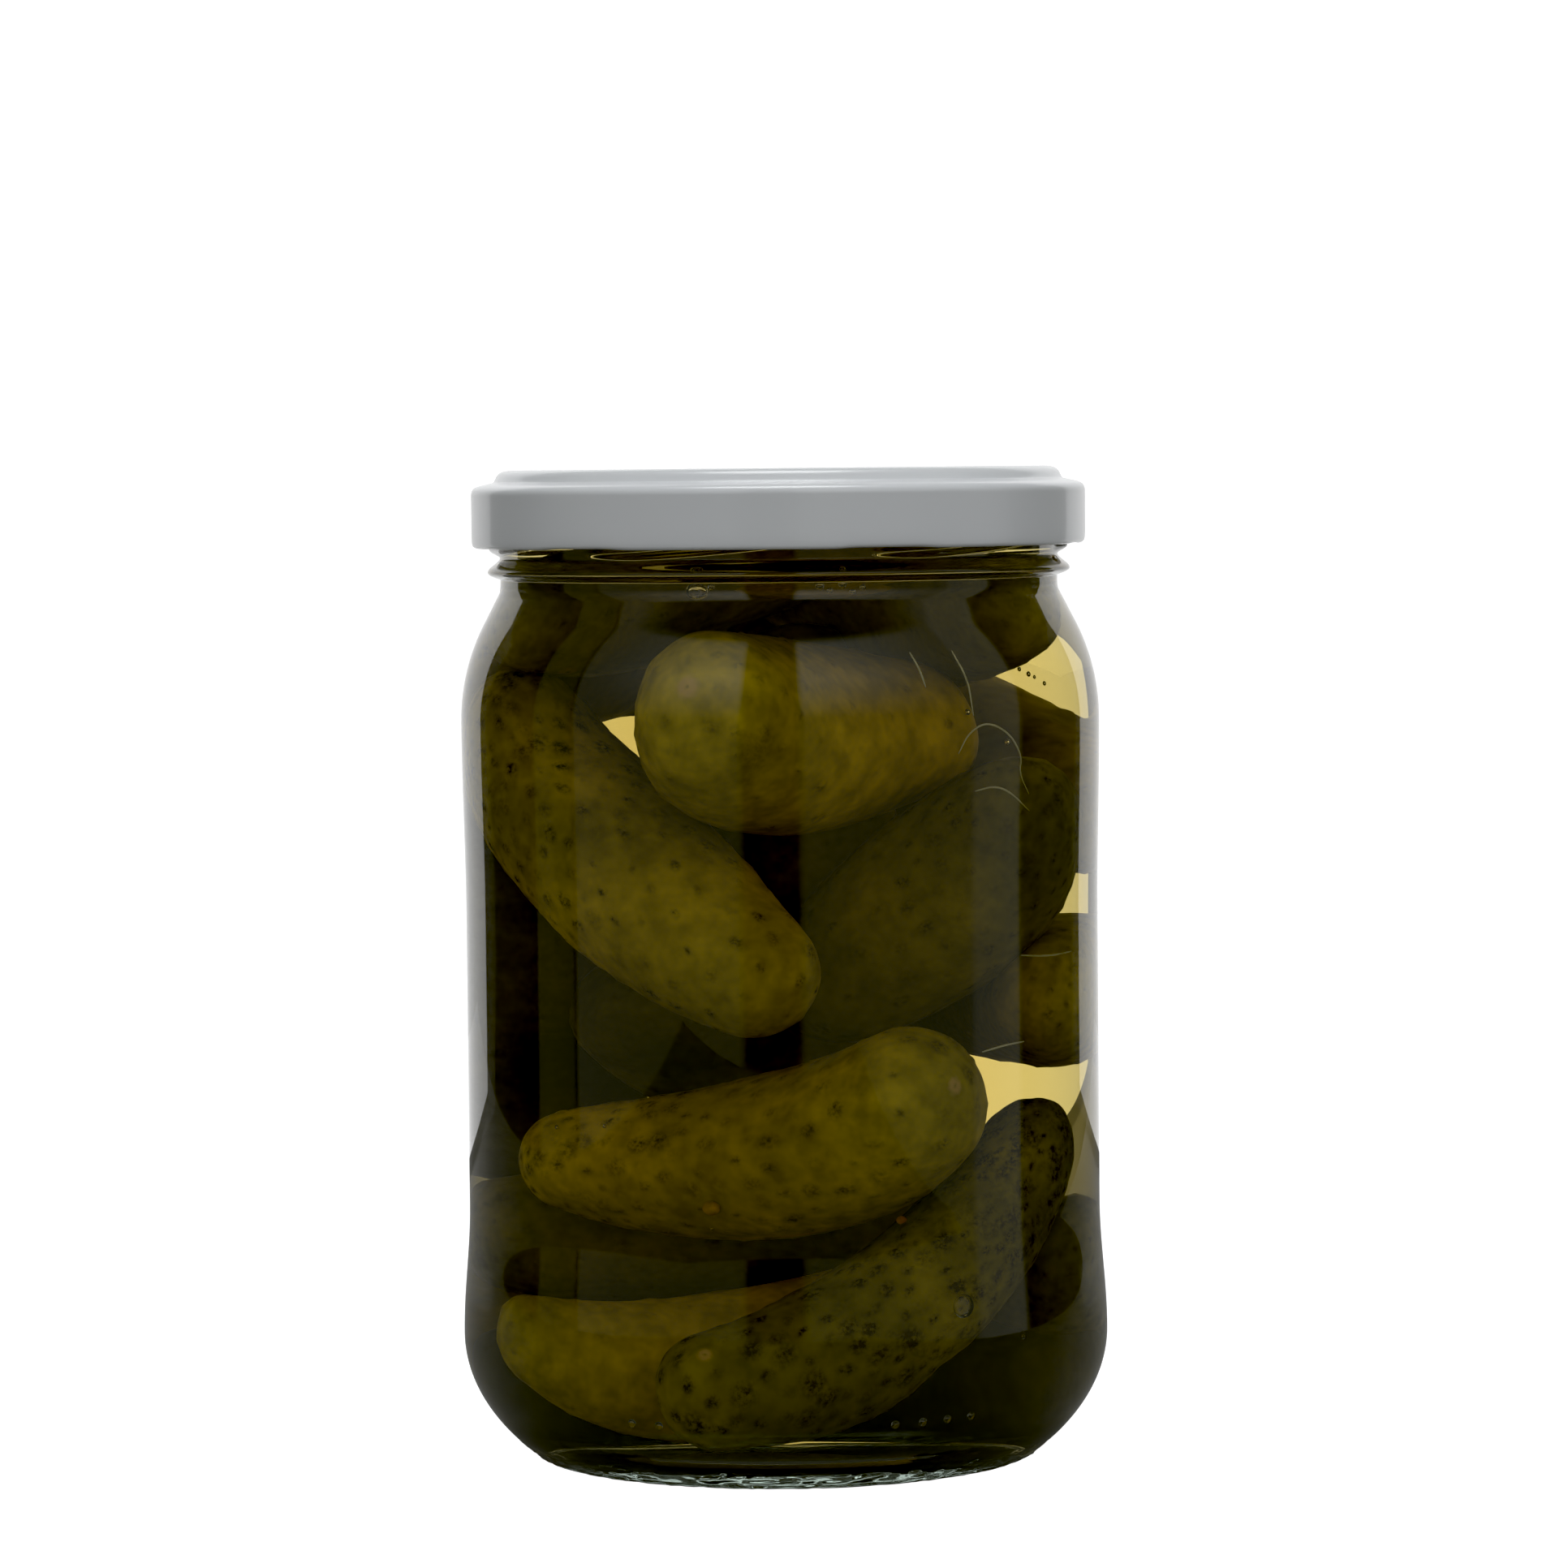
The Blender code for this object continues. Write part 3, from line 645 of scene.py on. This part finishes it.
def make_bubbles(material):
    """Air bubbles that cling to the inside of the glass."""
    parts = []
    for x, z, radius, flat in BUBBLES:
        parts.append(flattened(on_front(INSIDE, x, z, radius * flat + BUBBLE_CLEARANCE), radius, flat))
    return joined("bubbles", parts, material)


def make_mould_dots(material):
    """The small round marks of the mould near the heel."""
    parts = [flattened(on_front(OUTSIDE, x, z, DOT_DEPTH), DOT_RADIUS, DOT_FLATNESS) for x, z in MOULD_DOTS]
    return joined("mould_dots", parts, material)


def make_seed(name, centre, radius, color):
    """A seed or speck on a gherkin."""
    material, tree, shader = new_material(name)
    tone = ramp(tree, noise(tree, 700, 3), [(0.35, tuple(0.6 * c for c in color)), (0.65, color)])
    tree.links.new(tone, shader.inputs["Base Color"])
    shader.inputs["Roughness"].default_value = 0.5
    ball, faces = ball_points(20, 28)
    ball = ball * (1 + 0.06 * smooth_noise(ball * 2, 1.5, 4, shift=30))[:, None]
    return mesh_object(name, np.array(centre) + radius * ball * (1.1, 1, 0.95), faces, material)


def fibre_part(number, track):
    """The points and faces of one fibre, which thins out to its ends."""
    spine = []
    for i, (x, z, _) in enumerate(rounded_line([(x, z, 0) for x, z in track], 3)):
        spine.append(on_front(INSIDE, x, z, FIBRE_DEPTH + FIBRE_SWAY * math.sin(number + 0.2 * i)))
    spine = np.array(spine)
    along = np.gradient(spine, axis=0)
    along /= np.linalg.norm(along, axis=1)[:, None]
    side = np.cross(along, (0.3, 0.9, 0.2))
    side /= np.linalg.norm(side, axis=1)[:, None]
    across = np.cross(along, side)
    turn = 2 * np.pi * np.arange(FIBRE_SIDES) / FIBRE_SIDES
    thin = FIBRE_RADIUS * np.sin(np.linspace(0.4, np.pi - 0.4, len(spine)))[:, None, None]
    spread = np.cos(turn)[:, None] * side[:, None] + np.sin(turn)[:, None] * across[:, None]
    rings = spine[:, None] + thin * spread
    points = np.concatenate([spine[:1], rings.reshape(-1, 3), spine[-1:]])
    return points, grid_faces(len(spine), FIBRE_SIDES)


def make_fibres(material):
    """Fine fibres of the gherkins, adrift near the glass."""
    return joined("fibres", [fibre_part(number, track) for number, track in enumerate(FIBRES)], material)


# Shader nodes


def new_material(name):
    """A Principled material, its node tree and its shader."""
    material = bpy.data.materials.new(name)
    material.use_nodes = True
    tree = material.node_tree
    return material, tree, tree.nodes["Principled BSDF"]


def join(tree, socket, value):
    """Links a socket to another socket, or sets it where the value is a number or a colour."""
    if isinstance(value, (int, float)):
        socket.default_value = value
    elif isinstance(value, tuple):
        socket.default_value = (*value, 1)
    elif value is not None:
        tree.links.new(value, socket)


def grey(value):
    """A grey colour."""
    return (value, value, value)


def ramp(tree, value, stops):
    """A colour ramp from (position, colour) stops."""
    node = tree.nodes.new("ShaderNodeValToRGB")
    while len(node.color_ramp.elements) < len(stops):
        node.color_ramp.elements.new(0.5)
    for element, (position, color) in zip(node.color_ramp.elements, stops):
        element.position = position
        element.color = (*color, 1)
    tree.links.new(value, node.inputs["Fac"])
    return node.outputs["Color"]


def attribute(tree, name):
    """A number kept on the mesh's points."""
    node = tree.nodes.new("ShaderNodeAttribute")
    node.attribute_name = name
    return node.outputs["Fac"]


def math_node(tree, operation, first, second=None, third=None, clamp=False):
    """One step of arithmetic."""
    node = tree.nodes.new("ShaderNodeMath")
    node.operation = operation
    node.use_clamp = clamp
    for socket, value in zip(node.inputs, (first, second, third)):
        join(tree, socket, value)
    return node.outputs[0]


def mixed(tree, data_type, share, first, second, blend="MIX"):
    """A mix of two numbers (FLOAT) or two colours (RGBA)."""
    node = tree.nodes.new("ShaderNodeMix")
    node.data_type = data_type
    node.blend_type = blend
    for socket, value in zip([s for s in node.inputs if s.enabled], (share, first, second)):
        join(tree, socket, value)
    return [s for s in node.outputs if s.enabled][0]


def noise(tree, scale, detail, roughness=0.5):
    """Noise in the object's own space."""
    place = tree.nodes.new("ShaderNodeTexCoord")
    node = tree.nodes.new("ShaderNodeTexNoise")
    node.inputs["Scale"].default_value = scale
    node.inputs["Detail"].default_value = detail
    node.inputs["Roughness"].default_value = roughness
    tree.links.new(place.outputs["Object"], node.inputs["Vector"])
    return node.outputs["Fac"]


# Materials


def clear_material(name, ior, mirror=1.0):
    """Clear glass, liquid or air, and how strongly it mirrors."""
    material, tree, shader = new_material(name)
    shader.inputs["Specular Tint"].default_value = (mirror, mirror, mirror, 1)
    shader.inputs["Base Color"].default_value = CLEAR
    shader.inputs["Roughness"].default_value = 0.0
    shader.inputs["Transmission Weight"].default_value = 1.0
    shader.inputs["IOR"].default_value = ior
    return material, tree, shader


def absorb(tree, color, density):
    """Tints a clear material by depth."""
    volume = tree.nodes.new("ShaderNodeVolumeAbsorption")
    volume.inputs["Color"].default_value = (*color, 1)
    volume.inputs["Density"].default_value = density
    tree.links.new(volume.outputs["Volume"], tree.nodes["Material Output"].inputs["Volume"])


def glass_material():
    """Slightly green glass, which mirrors nothing where brine wets it."""
    material, tree, shader = clear_material("clear glass", GLASS_IOR)
    wetted = ramp(tree, attribute(tree, "wet"), [(0.4, grey(1)), (0.6, grey(0))])
    tree.links.new(wetted, shader.inputs["Specular Tint"])
    absorb(tree, GLASS_TINT, GLASS_DENSITY)
    return material


def brine_material():
    """Yellow pickling brine. It mirrors nothing itself."""
    material, tree, shader = clear_material("brine", BRINE_IOR, mirror=0.0)
    absorb(tree, BRINE_TINT, BRINE_DENSITY)
    return material


def air_material():
    """Air inside the brine."""
    material, tree, shader = clear_material("air bubble", AIR_IN_BRINE_IOR)
    return material


def gherkin_material():
    """Pickled skin: olive, mottled, with dark warts and tan scars; each gherkin's tone is partly painted
    light and shade.
    """
    material, tree, shader = new_material("pickled gherkin skin")
    # Skin tone from the unripe to the ripe colour; each gherkin's place on it is partly painted light and
    # shade.
    skin = ramp(tree, attribute(tree, "ripe"), [(0.0, UNRIPE), (0.5, HALF_RIPE), (1.0, RIPE)])
    mottle = ramp(tree, noise(tree, 260, 2, 0.6), [(0.3, grey(0.62)), (0.7, grey(1.15))])
    color = mixed(tree, "RGBA", 1.0, skin, mottle, blend="MULTIPLY")
    ragged = ramp(tree, noise(tree, 1300, 2, 0.7), [(0.38, grey(0.25)), (0.62, grey(1))])
    wart = math_node(tree, "MULTIPLY", attribute(tree, "wart"), ragged)
    color = mixed(tree, "RGBA", wart, color, WART_COLOR)
    color = mixed(tree, "RGBA", attribute(tree, "scar"), color, SCAR_COLOR)
    tree.links.new(color, shader.inputs["Base Color"])
    shader.inputs["Roughness"].default_value = 0.45
    shader.inputs["IOR"].default_value = 1.06
    bump = tree.nodes.new("ShaderNodeBump")
    bump.inputs["Distance"].default_value = 0.00012
    bump.inputs["Strength"].default_value = 0.6
    tree.links.new(noise(tree, 900, 1), bump.inputs["Height"])
    tree.links.new(bump.outputs["Normal"], shader.inputs["Normal"])
    return material


def fibre_material():
    """Pale soft plant fibre."""
    material, tree, shader = new_material("plant fibre")
    tone = ramp(tree, noise(tree, 300, 2), [(0.3, FIBRE_DARK), (0.7, FIBRE_PALE)])
    tree.links.new(tone, shader.inputs["Base Color"])
    shader.inputs["Roughness"].default_value = 0.8
    shader.inputs["IOR"].default_value = 1.05
    return material


def lid_material():
    """White lacquered steel."""
    material, tree, shader = new_material("white lacquered steel")
    tone = ramp(tree, noise(tree, 60, 3), [(0.3, LID_DARK), (0.7, LID_PALE)])
    tree.links.new(tone, shader.inputs["Base Color"])
    shader.inputs["Roughness"].default_value = 0.32
    shader.inputs["Coat Weight"].default_value = 0.5
    shader.inputs["Coat Roughness"].default_value = 0.08
    return material


def table_material():
    """The pale table, which the camera sees as white as the backdrop."""
    material, tree, shader = new_material("pale table")
    shader.inputs["Base Color"].default_value = (*TABLE_COLOR, 1)
    shader.inputs["Roughness"].default_value = 0.8
    shader.inputs["Emission Color"].default_value = (1, 1, 1, 1)
    eye = tree.nodes.new("ShaderNodeLightPath")
    glow = math_node(tree, "MULTIPLY_ADD", eye.outputs["Is Camera Ray"], TABLE_SEEN, TABLE_LIGHT)
    tree.links.new(glow, shader.inputs["Emission Strength"])
    return material


# The studio


def make_world():
    """Dark surroundings with broad soft lights in front, a dim ceiling and a bright light overhead."""
    world = bpy.data.worlds.new("studio")
    world.use_nodes = True
    tree = world.node_tree
    place = tree.nodes.new("ShaderNodeTexCoord")
    split = tree.nodes.new("ShaderNodeSeparateXYZ")
    tree.links.new(place.outputs["Generated"], split.inputs["Vector"])

    front = math_node(tree, "MULTIPLY", split.outputs["Y"], -1.0)
    around = math_node(tree, "ARCTAN2", split.outputs["X"], front)
    around = math_node(tree, "MULTIPLY_ADD", around, 1 / (2 * math.pi), 0.5)
    up = math_node(tree, "MULTIPLY", math_node(tree, "ARCSINE", split.outputs["Z"]), 180 / math.pi)
    light = ramp(tree, around, [((angle + 180) / 360, grey(radiance)) for angle, radiance in FRONT_LIGHT])
    gain = math_node(
        tree, "MULTIPLY_ADD", up, 1 / FRONT_GAIN_RISE, -FRONT_GAIN_FROM / FRONT_GAIN_RISE, clamp=True
    )
    gain = math_node(tree, "MULTIPLY", gain, math_node(tree, "MULTIPLY", front, front))
    light = math_node(tree, "MULTIPLY", light, math_node(tree, "MULTIPLY_ADD", gain, FRONT_GAIN, 1.0))
    for height, radiance in ((CEILING_FROM, CEILING), (OVERHEAD_FROM, OVERHEAD)):
        above = math_node(tree, "MULTIPLY_ADD", up, 1 / LIGHT_EDGE, -height / LIGHT_EDGE, clamp=True)
        light = mixed(tree, "FLOAT", above, light, radiance)
    eye = tree.nodes.new("ShaderNodeLightPath")
    seen = mixed(tree, "FLOAT", eye.outputs["Is Camera Ray"], light, BACKDROP_SEEN)
    tree.links.new(seen, tree.nodes["Background"].inputs["Color"])
    bpy.context.scene.world = world


def make_card():
    """A white card close behind the jar, which lights it from the back."""
    data = bpy.data.lights.new("card behind", "AREA")
    data.shape = "RECTANGLE"
    data.size = 2 * CARD_HALF_WIDTH
    data.size_y = CARD_TOP - CARD_LOW
    data.energy = CARD_LIGHT * math.pi * data.size * data.size_y
    card = bpy.data.objects.new("card behind", data)
    card.visible_camera = False
    card.location = (0, CARD_Y, (CARD_LOW + CARD_TOP) / 2)
    card.rotation_euler = (math.radians(-90), 0, 0)
    bpy.context.scene.collection.objects.link(card)


def make_table(material):
    """A pale table top."""
    front = [(TABLE_LEFT, TABLE_FRONT, TABLE_Z), (TABLE_RIGHT, TABLE_FRONT, TABLE_Z)]
    back = [(TABLE_RIGHT, TABLE_BACK, TABLE_Z), (TABLE_LEFT, TABLE_BACK, TABLE_Z)]
    table = mesh_object("table", front + back, [(0, 1, 2, 3)], material)


def make_camera():
    """The camera at the photograph's angle. The whole picture leans half a degree."""
    tilt = math.radians(CAMERA_TILT)
    roll = math.radians(CAMERA_ROLL)
    forward = Vector((0, math.cos(tilt), -math.sin(tilt)))
    right = Vector((1, 0, 0))
    up = right.cross(forward)
    leaning_right = math.cos(roll) * right - math.sin(roll) * up
    leaning_up = math.sin(roll) * right + math.cos(roll) * up
    data = bpy.data.cameras.new("camera")
    data.sensor_width = SENSOR_WIDTH
    data.lens = SENSOR_WIDTH * FOCAL_LENGTH_PX / PICTURE_WIDTH_PX
    data.clip_start = 0.01
    camera = bpy.data.objects.new("camera", data)
    turn = Matrix((leaning_right, leaning_up, -forward)).transposed()
    camera.matrix_world = Matrix.Translation(CAMERA_PLACE) @ turn.to_4x4()
    bpy.context.scene.collection.objects.link(camera)
    bpy.context.scene.camera = camera


def set_look():
    """The picture's tone, and how far light is followed through glass and brine."""
    scene = bpy.context.scene
    scene.view_settings.view_transform = "Standard"
    scene.view_settings.use_curve_mapping = True
    scene.view_settings.curve_mapping.black_level = BLACK_LEVEL
    scene.view_settings.curve_mapping.update()
    scene.cycles.use_light_tree = False
    scene.cycles.max_bounces = 12
    scene.cycles.transmission_bounces = 11
    scene.cycles.glossy_bounces = 4
    scene.cycles.diffuse_bounces = 1
    scene.cycles.caustics_refractive = True
    scene.cycles.caustics_reflective = True


def dress_jar():
    """The glass jar, its mould's dots, the lid, the brine and what is adrift in it."""
    glass = glass_material()
    jar = make_glass(glass)
    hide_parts("jar")
    lid = make_lid(lid_material())
    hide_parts("lid")
    clear = [
        make_brine(brine_material()),
        make_bubbles(air_material()),
        make_fibres(fibre_material()),
        make_mould_dots(glass),
    ]
    for thing in [jar, lid, *clear]:
        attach(thing, "root")


def dress_heap():
    """The gherkins and their core, and the seeds on them."""
    for name, seed in SEEDS.items():
        thing = make_seed(name, *seed)
        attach(thing, "root")
    material = gherkin_material()
    for number, (name, gherkin) in enumerate({**GHERKINS, **CORE}.items()):
        skin = SKINS.get(name, PLAIN_SKIN)
        thing = make_gherkin(name, gherkin, skin, material, FIRST_SEED + SEED_STEP * number)
        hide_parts("gherkins")
        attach(thing, "root")


make_camera()
make_world()
make_card()
make_table(table_material())
dress_jar()
dress_heap()
set_look()
